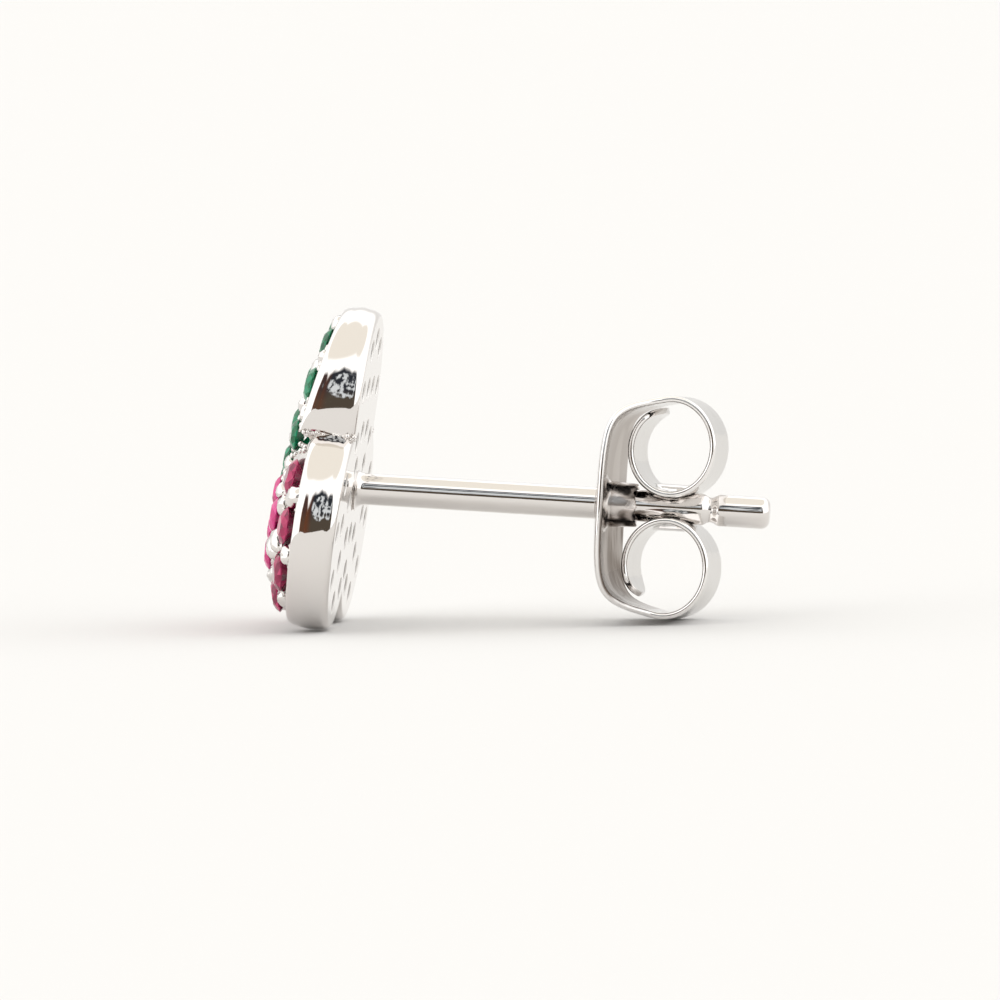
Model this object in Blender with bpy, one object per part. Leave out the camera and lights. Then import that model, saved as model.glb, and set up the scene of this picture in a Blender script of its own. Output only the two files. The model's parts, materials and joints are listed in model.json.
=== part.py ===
"""Stud earring, resting on a table as it is put down.

A trefoil head of three round lobes is paved with small stones and leans back on a
soldered post. A butterfly clutch, one scrolled strip of sheet silver, slides on the post.

Everything is modelled in the post's own frame: the post's axis is +Y, its foot on the back
of the head is the origin, and the front of the head looks along -Y. The empty "rest" then
tips the whole earring until the two lower lobes and the clutch's lower scroll stand on z = 0.
"""

import math

import bmesh
import bpy
import numpy as np
from mathutils import Matrix

MM = 0.001

# Head: three round lobes about a centre, one up and two down
LOBE_COUNT = 3
LOBE_RADIUS = 2.52 * MM
LOBE_REACH = 2.02 * MM
HEAD_LEAN = math.radians(4.9)
CENTRE_HEIGHT = 1.86 * MM
FRONT_TILT = 0.07
UPPER_POWER = 2.8
LOWER_POWER = 3.5
UPPER_WALL = 1.79 * MM
UPPER_WALL_RADIUS = 12.0 * MM
LOWER_WALL = 1.08 * MM
RIM_WIDTH = 0.25 * MM
FLOOR_THICKNESS = 0.45 * MM

# Paving: round stones in a row along each lobe's edge, and rings inside it
ROW_INSET = 0.79 * MM
INNER_RING = 0.78 * MM
HEART_RING = 1.15 * MM
TOP_ROW_ANGLES = (-104, -63, -21, 21, 63, 104)
SIDE_ROW_ANGLES = (41, 77.5, 114, 150.5, 187)
INNER_ANGLES = (-135, -45, 45, 135)
HEART_ANGLES = (60, 180, 300)
GALLERY_HOLE_RADIUS = 0.28 * MM
SEAT_GAP = 0.03 * MM

# Post
POST_RADIUS = 0.40 * MM
POST_LENGTH = 10.5 * MM
POST_ROOT = 0.20 * MM
SOLDER_WIDTH = 0.20 * MM
SOLDER_LENGTH = 0.25 * MM
GROOVE_FROM_TIP = 1.5 * MM
GROOVE_WIDTH = 0.20 * MM
GROOVE_DEPTH = 0.09 * MM
TIP_ROUND = 0.22 * MM

# Butterfly clutch: a strip that is a dished oval plate in the middle and a scroll at each end
CLUTCH_FROM_TIP = 4.25 * MM
CLUTCH_TURN = math.radians(3)
CLUTCH_ROLL = math.radians(3)
SHEET_THICKNESS = 0.16 * MM
PLATE_HALF_WIDTH = 2.35 * MM
PLATE_CORNER_DROP = 0.43 * MM
PLATE_DISH_RADIUS = 12.0 * MM
ARM_HALF_WIDTH = 1.45 * MM
SCROLL_STANDOFF = 0.76 * MM
SCROLL_NEARNESS = 0.33 * MM
SCROLL_HALF_DEPTH = 1.06 * MM
SCROLL_HALF_HEIGHT = 1.20 * MM
SCROLL_START = math.radians(100)
SCROLL_NEAREST = math.radians(-90)
SCROLL_END = math.radians(-250)
LOWER_SCROLL_END = math.radians(-222)
SCROLL_CURL_IN = 0.20
SLIDE_CLEARANCE = 0.03 * MM
COLLAR_WALL = 0.10 * MM
COLLAR_FRONT = 0.12 * MM
COLLAR_BACK = 0.90 * MM
CLUTCH_PLACE = POST_LENGTH - CLUTCH_FROM_TIP
BORE_RADIUS = POST_RADIUS + SLIDE_CLEARANCE + COLLAR_BACK * math.sin(CLUTCH_TURN)

# How finely round things are divided
OUTLINE_SIDES = 72
ROUND_SIDES = 24
HOLE_SIDES = 6
DOME_RINGS = (1.0, 0.92, 0.82, 0.7, 0.5, 0.25)
PLATE_STEPS = 9
SCROLL_STEPS = 26
ACROSS = (-1.0, -0.8, -0.6, -0.4, -0.28, -0.14, 0.0, 0.14, 0.28, 0.4, 0.6, 0.8, 1.0)


def plain_material(name, colour, metallic, roughness):
    """A Principled material of one colour."""
    material = bpy.data.materials.new(name)
    material.use_nodes = True
    shader = material.node_tree.nodes["Principled BSDF"]
    shader.inputs["Base Color"].default_value = (*colour, 1)
    shader.inputs["Metallic"].default_value = metallic
    shader.inputs["Roughness"].default_value = roughness
    return material


def new_object(name, bm, parent, material=None):
    """Puts a bmesh into a new smooth-shaded object under a parent."""
    bmesh.ops.recalc_face_normals(bm, faces=bm.faces)
    mesh = bpy.data.meshes.new(name)
    bm.to_mesh(mesh)
    bm.free()
    mesh.shade_smooth()
    mesh.set_sharp_from_angle(angle=math.radians(30))
    obj = bpy.data.objects.new(name, mesh)
    bpy.context.scene.collection.objects.link(obj)
    obj.parent = parent
    if material:
        mesh.materials.append(material)
    return obj


def helper(obj):
    """Marks an object as a cutter or an addition that isn't a piece by itself."""
    obj.hide_render = True
    obj.display_type = "WIRE"
    return obj


def boolean(obj, operation, other):
    """Adds an exact Boolean modifier."""
    modifier = obj.modifiers.new(f"{operation.lower()} {other.name}", "BOOLEAN")
    modifier.operation = operation
    modifier.solver = "EXACT"
    modifier.object = other


def lofted(rings, joined_ends=False):
    """A closed skin through rings of points, flat at both ends or run round to its start."""
    bm = bmesh.new()
    loops = [[bm.verts.new(point) for point in ring] for ring in rings]
    pairs = list(zip(loops, loops[1:]))
    if joined_ends:
        pairs.append((loops[-1], loops[0]))
    else:
        bm.faces.new(loops[0])
        bm.faces.new(loops[-1])
    for first, second in pairs:
        for i in range(len(first)):
            j = (i + 1) % len(first)
            bm.faces.new((first[i], first[j], second[j], second[i]))
    return bm


def turned(profile, sides=ROUND_SIDES):
    """Rings round the Y axis through the (y, radius) pairs of a profile."""
    angles = np.linspace(0, 2 * math.pi, sides, endpoint=False)
    return [
        np.stack([r * np.sin(angles), np.full(sides, y), r * np.cos(angles)], axis=1)
        for y, r in profile
    ]


def lobe_centre(index):
    """(across, up) of a lobe's centre. Lobe 0 is the upper one, and the others follow clockwise."""
    turn = 2 * math.pi * index / LOBE_COUNT
    return LOBE_REACH * math.sin(turn), LOBE_REACH * math.cos(turn)


def lobed_outline(inset):
    """(across, up) points of the three overlapping circles' outline, drawn in by inset.

    Along a ray at angle a, a circle of radius r whose centre lies at angle b ends at
    reach * cos(a - b) + sqrt(r^2 - reach^2 * sin(a - b)^2), and the outline is the furthest of them.
    """
    angles = np.linspace(0, 2 * math.pi, OUTLINE_SIDES, endpoint=False)
    radius = LOBE_RADIUS - inset
    ends = []
    for index in range(LOBE_COUNT):
        away = angles - 2 * math.pi * index / LOBE_COUNT
        under_root = np.maximum(radius**2 - (LOBE_REACH * np.sin(away)) ** 2, 0)
        ends.append(LOBE_REACH * np.cos(away) + np.sqrt(under_root))
    far = np.max(ends, axis=0)
    return np.stack([far * np.sin(angles), far * np.cos(angles)], axis=1)


def wall_height(outline):
    """How far in front of the head's back the rim lies at each point of an outline.

    Round the upper lobe it falls by rho^2 / (2 R) from the middle, and round the lower lobes it is
    level and steps back from the upper one at each notch.
    """
    upper = UPPER_WALL - (outline**2).sum(axis=1) / (2 * UPPER_WALL_RADIUS)
    return np.where(on_upper_lobe(outline), upper, LOWER_WALL)


def on_upper_lobe(outline):
    """Which points of an outline lie between the two notches beside the upper lobe."""
    return outline[:, 1] > math.cos(math.pi / LOBE_COUNT) * np.linalg.norm(outline, axis=1) - 1e-9


def dome(outline, share):
    """Forward height of the paved front on a ring that is the outline drawn in to this share.

    It is a plane through the middle, a little thicker towards the bottom, less share^power of its
    rise above the wall.
    """
    power = np.where(on_upper_lobe(outline), UPPER_POWER, LOWER_POWER)
    plane = CENTRE_HEIGHT - FRONT_TILT * share * outline[:, 1]
    return plane - (plane - wall_height(outline)) * share**power


def head_ring(outline, forward):
    """Points of the head's own frame: across, towards -Y by forward, and up."""
    forward = np.broadcast_to(forward, len(outline))
    return np.stack([outline[:, 0], -forward, outline[:, 1]], axis=1)


def stone_places():
    """(across, up) of every stone, for the gallery holes under them."""
    row = LOBE_RADIUS - ROW_INSET
    rings = [(0, row, TOP_ROW_ANGLES), (1, row, SIDE_ROW_ANGLES)]
    rings.append((2, row, [-angle for angle in SIDE_ROW_ANGLES]))
    for index in range(LOBE_COUNT):
        outward = 360 * index / LOBE_COUNT
        rings.append((index, INNER_RING, [outward + angle for angle in INNER_ANGLES]))
    places = []
    for index, radius, angles in rings:
        across, up = lobe_centre(index)
        for angle in np.radians(angles):
            places.append((across + radius * math.sin(angle), up + radius * math.cos(angle)))
    for angle in np.radians(HEART_ANGLES):
        places.append((HEART_RING * math.sin(angle), HEART_RING * math.cos(angle)))
    notch = LOBE_REACH / 2 + math.sqrt(LOBE_RADIUS**2 - 0.75 * LOBE_REACH**2)
    places.append((0.0, ROW_INSET - notch))
    return places


def gallery_cutter(parent):
    """One hexagonal opening through the floor behind each stone."""
    bm = bmesh.new()
    for across, up in stone_places():
        place = Matrix.Translation((across, -FLOOR_THICKNESS / 2, up)) @ Matrix.Rotation(math.pi / 2, 4, "X")
        bmesh.ops.create_cone(
            bm,
            cap_ends=True,
            segments=HOLE_SIDES,
            radius1=GALLERY_HOLE_RADIUS,
            radius2=GALLERY_HOLE_RADIUS,
            depth=2 * FLOOR_THICKNESS,
            matrix=place,
        )
    return helper(new_object("gallery_cutter", bm, parent))


def post_profile():
    """(y, radius) along the post, from inside the head's floor to the rounded tip."""
    groove = POST_LENGTH - GROOVE_FROM_TIP
    groove_side = GROOVE_WIDTH / 2 + GROOVE_DEPTH
    return [
        (-POST_ROOT, POST_RADIUS + SOLDER_WIDTH / 2),
        (0.0, POST_RADIUS + SOLDER_WIDTH),
        (SOLDER_LENGTH / 3, POST_RADIUS + SOLDER_WIDTH / 3),
        (SOLDER_LENGTH, POST_RADIUS),
        (groove - groove_side, POST_RADIUS),
        (groove - GROOVE_WIDTH / 2, POST_RADIUS - GROOVE_DEPTH),
        (groove + GROOVE_WIDTH / 2, POST_RADIUS - GROOVE_DEPTH),
        (groove + groove_side, POST_RADIUS),
        (POST_LENGTH - TIP_ROUND, POST_RADIUS),
        (POST_LENGTH - TIP_ROUND * 0.3, POST_RADIUS - TIP_ROUND * 0.3),
        (POST_LENGTH, POST_RADIUS - TIP_ROUND),
    ]


def make_setting(rest, silver):
    """The head's cup with its rim, floor and gallery, and the post soldered to its back."""
    outer = lobed_outline(0)
    inner = lobed_outline(RIM_WIDTH)
    rings = [
        head_ring(outer, 0),
        head_ring(outer, wall_height(outer)),
        head_ring(inner, wall_height(inner)),
        head_ring(inner, FLOOR_THICKNESS),
    ]
    setting = new_object("setting_with_post", lofted(rings), rest, silver)
    setting.rotation_euler.x = -HEAD_LEAN
    post = helper(new_object("post_addition", lofted(turned(post_profile())), rest))
    boolean(setting, "DIFFERENCE", gallery_cutter(setting))
    boolean(setting, "UNION", post)
    return setting


def make_paving(name, rest, material, operation, cutter_inset):
    """One colour of the paved front: the domed slab inside the rim, with or without the upper lobe."""
    outline = lobed_outline(RIM_WIDTH + SEAT_GAP)
    rings = [head_ring(outline, FLOOR_THICKNESS + SEAT_GAP)]
    for share in DOME_RINGS:
        rings.append(head_ring(outline * share, dome(outline, share)))
    paving = new_object(name, lofted(rings), rest, material)
    paving.rotation_euler.x = -HEAD_LEAN
    bm = bmesh.new()
    across, up = lobe_centre(0)
    bmesh.ops.create_cone(
        bm,
        cap_ends=True,
        segments=OUTLINE_SIDES,
        radius1=LOBE_RADIUS - cutter_inset,
        radius2=LOBE_RADIUS - cutter_inset,
        depth=4 * CENTRE_HEIGHT,
        matrix=Matrix.Translation((across, 0, up)) @ Matrix.Rotation(math.pi / 2, 4, "X"),
    )
    boolean(paving, operation, helper(new_object(f"{name}_cutter", bm, paving)))
    return paving


def scroll_midline(scroll_end):
    """(back, out) along half of the strip: up the plate, over its corner and round the scroll.

    The plate is a cubic curve from the hole to the scroll's top. The scroll is an ellipse
    whose size shrinks by up to SCROLL_CURL_IN after it has passed the post.
    """
    centre = np.array([SCROLL_STANDOFF + SCROLL_HALF_DEPTH, SCROLL_NEARNESS + SCROLL_HALF_HEIGHT])
    size = np.array([SCROLL_HALF_DEPTH, SCROLL_HALF_HEIGHT])
    start = centre + size * (math.cos(SCROLL_START), math.sin(SCROLL_START))
    heading = size * (math.sin(SCROLL_START), -math.cos(SCROLL_START))
    heading /= np.linalg.norm(heading)
    corner = centre[1] + size[1] - PLATE_CORNER_DROP
    handles = np.array([(0, 0), (0, corner), start - heading * 0.95 * start[0], start])
    t = np.linspace(0, 1, PLATE_STEPS)[:, None]
    weights = np.hstack([(1 - t) ** 3, 3 * t * (1 - t) ** 2, 3 * t**2 * (1 - t), t**3])
    plate = weights @ handles
    angle = np.linspace(SCROLL_START, scroll_end, SCROLL_STEPS)[1:, None]
    past = np.clip((SCROLL_NEAREST - angle) / (SCROLL_NEAREST - SCROLL_END), 0, 1)
    scroll = centre + (1 - SCROLL_CURL_IN * past**2.2) * size * np.hstack([np.cos(angle), np.sin(angle)])
    return np.vstack([plate, scroll])


def strip_grid():
    """The clutch's strip as a grid of points, from one scroll's free end to the other's.

    Across the strip, the oval plate is wider than the arms and slightly dished. Where a scroll passes
    the post, which the turned clutch meets at a slant, a channel keeps the sheet clear of it.
    """
    lower, upper = scroll_midline(LOWER_SCROLL_END), scroll_midline(SCROLL_END)
    midline = np.vstack([lower[:0:-1] * (1, -1), upper])
    back, out = midline[:, :1], midline[:, 1:]
    on_plate = np.zeros(len(midline))
    on_plate[SCROLL_STEPS - 1 : -(SCROLL_STEPS - 1)] = np.sin(np.linspace(0, math.pi, 2 * PLATE_STEPS - 1))
    on_plate = on_plate[:, None]
    half_width = ARM_HALF_WIDTH + (PLATE_HALF_WIDTH - ARM_HALF_WIDTH) * on_plate
    across = half_width * np.array(ACROSS)
    back = back + on_plate**0.5 * across**2 / (2 * PLATE_DISH_RADIUS)
    clear = POST_RADIUS + SLIDE_CLEARANCE + SHEET_THICKNESS / 2
    off_post = across + back * math.tan(CLUTCH_TURN)
    in_scroll = np.ones(len(midline), bool)
    in_scroll[SCROLL_STEPS - 1 : -(SCROLL_STEPS - 1)] = False
    channel = np.sqrt(np.maximum(clear**2 - off_post**2, 0)) * in_scroll[:, None]
    out = np.sign(out) * np.maximum(np.abs(out), channel) + 0 * across
    return np.stack([across, back, out], axis=2)


def make_clutch(rest, silver):
    """The butterfly clutch: its strip, thickened to the sheet, with a collared hole for the post.

    It sits on the post a little turned, as far as the play in its hole lets it, and rolled about it.
    """
    bm = bmesh.new()
    rows = [[bm.verts.new(point) for point in row] for row in strip_grid()]
    for row, following in zip(rows, rows[1:]):
        for i in range(len(row) - 1):
            bm.faces.new((row[i], row[i + 1], following[i + 1], following[i]))
    clutch = new_object("butterfly_clutch", bm, rest, silver)
    clutch.location.y = CLUTCH_PLACE
    clutch.rotation_mode = "ZYX"
    clutch.rotation_euler = (0, -CLUTCH_ROLL, -CLUTCH_TURN)
    sheet = clutch.modifiers.new("sheet", "SOLIDIFY")
    sheet.thickness = SHEET_THICKNESS
    sheet.offset = 0
    wall = BORE_RADIUS + COLLAR_WALL
    collar = lofted(turned([(-COLLAR_FRONT, wall), (COLLAR_BACK, wall)]))
    hole = lofted(turned([(-3 * COLLAR_FRONT, BORE_RADIUS), (COLLAR_BACK + COLLAR_WALL, BORE_RADIUS)]))
    boolean(clutch, "UNION", helper(new_object("collar_addition", collar, clutch)))
    boolean(clutch, "DIFFERENCE", helper(new_object("bore_cutter", hole, clutch)))
    return clutch


def world_points(obj):
    """The finished object's vertices in world space."""
    graph = bpy.context.evaluated_depsgraph_get()
    evaluated = obj.evaluated_get(graph)
    mesh = evaluated.to_mesh()
    points = np.empty(len(mesh.vertices) * 3)
    mesh.vertices.foreach_get("co", points)
    evaluated.to_mesh_clear()
    matrix = np.array(evaluated.matrix_world)
    return points.reshape(-1, 3) @ matrix[:3, :3].T + matrix[:3, 3]


def stand(rest, head, clutch):
    """Tips the earring until head and clutch are level below, and puts it on z = 0, centred."""
    for _ in range(6):
        bpy.context.view_layer.update()
        feet = [points[points[:, 2].argmin()] for points in (world_points(head), world_points(clutch))]
        step = feet[1] - feet[0]
        rest.rotation_euler.x -= math.atan2(step[2], step[1])
    bpy.context.view_layer.update()
    points = np.vstack([world_points(head), world_points(clutch)])
    low, high = points.min(axis=0), points.max(axis=0)
    rest.location = (-(low[0] + high[0]) / 2, -(low[1] + high[1]) / 2, -low[2])


for existing in list(bpy.data.objects):
    bpy.data.objects.remove(existing)
rest = bpy.data.objects.new("rest", None)
bpy.context.scene.collection.objects.link(rest)
silver = plain_material("polished_silver", (0.85, 0.85, 0.86), 1.0, 0.12)
clutch_silver = plain_material("clutch_silver", (0.82, 0.82, 0.83), 1.0, 0.15)
green = plain_material("green_stone", (0.02, 0.35, 0.15), 0.0, 0.05)
ruby = plain_material("ruby_stone", (0.55, 0.02, 0.12), 0.0, 0.05)
setting = make_setting(rest, silver)
make_paving("green_paving", rest, green, "INTERSECT", RIM_WIDTH + SEAT_GAP)
make_paving("ruby_paving", rest, ruby, "DIFFERENCE", RIM_WIDTH)
clutch = make_clutch(rest, clutch_silver)
stand(rest, setting, clutch)
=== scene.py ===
"""Stud earring with a paved trefoil head, resting on a pale table, seen from its side.

Lengths are in metres. The head's own frame has across along X, forward out of its back and up along
the head. The post's own frame has across, back along the post from its foot, and out above it.
"""

import json
import math

import bmesh
import bpy
import numpy as np
from mathutils import Matrix
from mathutils.geometry import delaunay_2d_cdt


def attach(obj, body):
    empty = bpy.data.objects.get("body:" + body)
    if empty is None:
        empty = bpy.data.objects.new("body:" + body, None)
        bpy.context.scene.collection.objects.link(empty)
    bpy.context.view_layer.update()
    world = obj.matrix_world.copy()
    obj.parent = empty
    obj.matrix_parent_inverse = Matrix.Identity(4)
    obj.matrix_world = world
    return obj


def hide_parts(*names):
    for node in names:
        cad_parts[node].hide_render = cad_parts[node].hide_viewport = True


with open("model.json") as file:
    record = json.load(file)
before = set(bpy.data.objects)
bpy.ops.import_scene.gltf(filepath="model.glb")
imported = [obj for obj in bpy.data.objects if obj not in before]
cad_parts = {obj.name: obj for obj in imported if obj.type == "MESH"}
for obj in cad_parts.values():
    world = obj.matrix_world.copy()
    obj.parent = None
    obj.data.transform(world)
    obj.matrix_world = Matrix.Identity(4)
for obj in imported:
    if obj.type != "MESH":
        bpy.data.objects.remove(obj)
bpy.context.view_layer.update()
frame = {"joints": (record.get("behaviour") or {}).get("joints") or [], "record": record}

# The camera looks at the earring's side through a long lens, almost level with the table, so that
# the post runs from left to right. It stands a little behind the head and is tipped slightly.
MM = 0.001
ACROSS = np.array([1.0, 0.0, 0.0])
POST_AXIS = np.array(frame["joints"][0]["axis"])
POST_UP = np.cross(ACROSS, POST_AXIS)
HEAD_BACK = np.array(frame["record"]["mounts"][0]["axis"])
HEAD_UP = np.cross(ACROSS, HEAD_BACK)
MOUNT_ABOVE_FOOT = 0.9 * MM
POST_FOOT = np.array(frame["record"]["mounts"][0]["pos_m"]) - MOUNT_ABOVE_FOOT * HEAD_UP

CAMERA_AZIMUTH = math.radians(95)
CAMERA_ELEVATION = math.radians(3)
CAMERA_ROLL = math.radians(1.1)
CAMERA_DISTANCE = 0.30
SENSOR_WIDTH = 36.0
FRAME_WIDTH = 25.3 * MM
IMAGE_SIZE = 1000
FOOT_PIXEL = (356.5, 488.5)


def camera_axes(azimuth, elevation, roll):
    """Right, up and backward directions of a camera that looks at the object from there."""
    backward = np.array(
        [
            math.sin(azimuth) * math.cos(elevation),
            -math.cos(azimuth) * math.cos(elevation),
            math.sin(elevation),
        ]
    )
    level = np.cross([0.0, 0.0, 1.0], backward)
    level /= np.linalg.norm(level)
    upright = np.cross(backward, level)
    right = level * math.cos(roll) - upright * math.sin(roll)
    return right, np.cross(backward, right), backward


def aimed_camera():
    """The camera, placed so that the post's foot falls on its pixel of the picture."""
    right, up, backward = camera_axes(CAMERA_AZIMUTH, CAMERA_ELEVATION, CAMERA_ROLL)
    pixel = FRAME_WIDTH / IMAGE_SIZE
    aim = POST_FOOT - right * (FOOT_PIXEL[0] - IMAGE_SIZE / 2) * pixel
    aim = aim - up * (IMAGE_SIZE / 2 - FOOT_PIXEL[1]) * pixel
    place = aim + backward * CAMERA_DISTANCE
    camera = bpy.data.objects.new("camera", bpy.data.cameras.new("camera"))
    bpy.context.scene.collection.objects.link(camera)
    camera.matrix_world = Matrix(np.vstack([np.stack([right, up, backward, place], axis=1), [0, 0, 0, 1]]))
    camera.data.sensor_width = SENSOR_WIDTH
    camera.data.lens = SENSOR_WIDTH * CAMERA_DISTANCE / FRAME_WIDTH
    camera.data.clip_start = 0.01
    camera.data.clip_end = 20
    return camera


bpy.context.scene.camera = aimed_camera()

# The head's cup: cast silver, one up and two down, in the shape of three overlapping round lobes.
# Its wall and rim are tumbled soft and rhodium plated, and its floor and front web are drilled
# through behind every stone, as a setter opens them for light.
LOBE_COUNT = 3
LOBE_RADIUS = 2.52 * MM
LOBE_REACH = 2.02 * MM
LOBE_POINTS = 150
CENTRE_HEIGHT = 1.86 * MM
FRONT_TILT = 0.07
UPPER_POWER = 2.8
LOWER_POWER = 3.5
UPPER_WALL = 1.79 * MM
UPPER_WALL_RADIUS = 12.0 * MM
LOWER_WALL = 1.08 * MM
NOTCH_BLEND = math.radians(15)
FLOOR_THICKNESS = 0.45 * MM
BACK_ROUND = 0.15 * MM
BACK_ROUND_DEEP = 0.26 * MM
WALL_BARREL = 0.03 * MM
WALL_SWELL = 0.02 * MM
RIM_ROUND = 0.15 * MM
RIM_ROUND_DEEP = 0.28 * MM
RIM_LIP = 0.03 * MM
RIM_LIP_DROP = 0.02 * MM
BED_DROP = 0.10 * MM
BED_INSET = 0.20 * MM
ROUND_STEPS = 8
WALL_STEPS = 14

STONE_RADIUS = 0.46 * MM
ROW_INSET = 0.72 * MM
INNER_RING = 0.78 * MM
HEART_RING = 1.15 * MM
TOP_ROW_ANGLES = (-116, -73.5, -32, 0, 32, 73.5, 116)
SIDE_ROW_ANGLES = (45, 88, 130.5, 172, 213)
INNER_ANGLES = (-135, -45, 45, 135)
HEART_ANGLES = (60, 180, 300)
STONE_ROOM = 0.03 * MM
WEB_LEFT = 0.03 * MM
GALLERY_RADIUS = 0.27 * MM
GALLERY_BEVEL = 0.03 * MM
SEAT_DEPTH = 0.16 * MM
SEAT_CHAMFER = 0.02 * MM
SEAT_TAPER = 0.06 * MM
HOLE_POINTS = 28

SILVER_COLOUR = (0.765, 0.735, 0.712)
DRILLED_COLOUR = (0.78, 0.76, 0.74)
POLISHED = {"roughness": 0.04, "wave_size": 900.0, "wave_height": 0.006 * MM, "scratches": 0.4}
DRILLED = {"roughness": 0.55, "wave_size": 3000.0, "wave_height": 0.02 * MM, "scratches": 0.3}
SCRATCH_SIZE = 5000.0
SCRATCH_TURN = (0.5, 0.3, 0.8)
SCRATCH_STRETCH = (0.12, 1.0, 1.0)
SCRATCH_EDGES = (0.62, 0.78)
SCRATCH_DEPTH = 0.04
SCRATCH_ROUGHNESS = 0.15


def lobe_centres():
    """(across, up) of the three lobes' centres, the upper one first and then clockwise."""
    turn = 2 * np.pi * np.arange(LOBE_COUNT) / LOBE_COUNT
    return LOBE_REACH * np.stack([np.sin(turn), np.cos(turn)], axis=1)


def crossing_reach(radius):
    """Where the lobes' circles cross on the rays halfway between them: circles of radius r at reach d
    from the centre cross at d / 2 + sqrt(r^2 - 3 d^2 / 4)."""
    return LOBE_REACH / 2 + np.sqrt(radius**2 - 0.75 * LOBE_REACH**2)


def distances(places, others):
    """The distance of each place from each of the others."""
    return np.linalg.norm(places[:, None] - others[None], axis=2)


def lobed(inset):
    """Outlines of the trefoil drawn in by each inset, as (insets, points, 2) of across and up.

    Each lobe's arc runs from crossing to crossing in equal steps.
    """
    radius = LOBE_RADIUS - np.atleast_1d(inset)[:, None, None]
    crossing = crossing_reach(radius)
    halfway = np.pi / LOBE_COUNT
    corner = np.arctan2(crossing * np.sin(halfway), crossing * np.cos(halfway) - LOBE_REACH)
    turn = 2 * np.pi * np.arange(LOBE_COUNT)[None, :, None] / LOBE_COUNT
    angle = turn + corner * np.linspace(-1, 1, LOBE_POINTS, endpoint=False)[None, None, :]
    across = LOBE_REACH * np.sin(turn) + radius * np.sin(angle)
    up = LOBE_REACH * np.cos(turn) + radius * np.cos(angle)
    return np.stack([across, up], axis=-1).reshape(len(radius), -1, 2)


def wall_height(outlines):
    """How far in front of the head's back the rim lies: UPPER_WALL - rho^2 / (2 R) round the upper
    lobe and LOWER_WALL round the two others, with a step back at each notch."""
    upper = UPPER_WALL - (outlines**2).sum(axis=-1) / (2 * UPPER_WALL_RADIUS)
    return np.where(np.arange(outlines.shape[-2]) < LOBE_POINTS, upper, LOWER_WALL)


def dome(places):
    """How far in front of the head's back its paved dome lies: a plane that rises by FRONT_TILT
    towards the bottom, less share^power of its height above the wall. The share is a place's distance
    from the middle over that of the bed's edge on the same ray. The upper and lower lobes have their
    own wall heights and powers, blended smoothly within NOTCH_BLEND of a notch.
    """
    away = np.linalg.norm(places, axis=-1)
    angle = np.arctan2(places[..., 0], places[..., 1])
    from_lobe = angle[..., None] - 2 * np.pi * np.arange(LOBE_COUNT) / LOBE_COUNT
    under_root = np.maximum((LOBE_RADIUS - BED_INSET) ** 2 - (LOBE_REACH * np.sin(from_lobe)) ** 2, 0)
    reach = (LOBE_REACH * np.cos(from_lobe) + np.sqrt(under_root)).max(axis=-1)
    past = np.clip((np.abs(angle) - np.pi / LOBE_COUNT) / (2 * NOTCH_BLEND) + 0.5, 0, 1)
    past = past**2 * (3 - 2 * past)
    upper = UPPER_WALL - reach**2 / (2 * UPPER_WALL_RADIUS)
    wall = upper + (LOWER_WALL - upper) * past
    power = UPPER_POWER + (LOWER_POWER - UPPER_POWER) * past
    plane = CENTRE_HEIGHT - FRONT_TILT * places[..., 1]
    return plane - (plane - wall) * (away / reach) ** power


def on_head(places, forward):
    """World points of (across, up) places on the head, that far forward of its back."""
    sideways = places[..., :1] * ACROSS + places[..., 1:] * HEAD_UP
    return POST_FOOT + sideways - np.asarray(forward)[..., None] * HEAD_BACK


def stone_places():
    """(across, up) of every stone: a row along each lobe's edge, a ring of four inside it, three
    round the middle, one at the lower notch and one in the middle."""
    row = LOBE_RADIUS - ROW_INSET
    rows = [(0, row, TOP_ROW_ANGLES), (1, row, SIDE_ROW_ANGLES), (2, row, [-a for a in SIDE_ROW_ANGLES])]
    for index in range(LOBE_COUNT):
        outward = 360 * index / LOBE_COUNT
        rows.append((index, INNER_RING, [outward + angle for angle in INNER_ANGLES]))
    centres = lobe_centres()
    found = []
    for index, radius, angles in rows:
        angles = np.radians(angles)
        found.append(centres[index] + radius * np.stack([np.sin(angles), np.cos(angles)], axis=1))
    heart = np.radians(HEART_ANGLES)
    found.append(HEART_RING * np.stack([np.sin(heart), np.cos(heart)], axis=1))
    found.append(np.array([[0.0, ROW_INSET - crossing_reach(LOBE_RADIUS)], [0.0, 0.0]]))
    return np.vstack(found)


def stone_sizes(places):
    """Each stone's radius: the usual one, or less where a neighbour or the rim is nearer."""
    apart = distances(places, places)
    np.fill_diagonal(apart, np.inf)
    to_rim = distances(places, lobed(BED_INSET)[0]).min(axis=1)
    room = np.minimum(apart.min(axis=1) / 2, to_rim)
    return np.minimum(STONE_RADIUS, room - STONE_ROOM - WEB_LEFT)


def grid_faces(rows, columns, closed_rows=False):
    """Four-cornered faces of a grid of points whose columns close on themselves."""
    row = np.arange(rows if closed_rows else rows - 1)[:, None]
    column = np.arange(columns)[None, :]
    after_row, after_column = (row + 1) % rows, (column + 1) % columns
    corners = [row * columns + column, row * columns + after_column]
    corners += [after_row * columns + after_column, after_row * columns + column]
    return np.stack([np.broadcast_to(c, (len(row), columns)) for c in corners], axis=-1).reshape(-1, 4)


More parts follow.
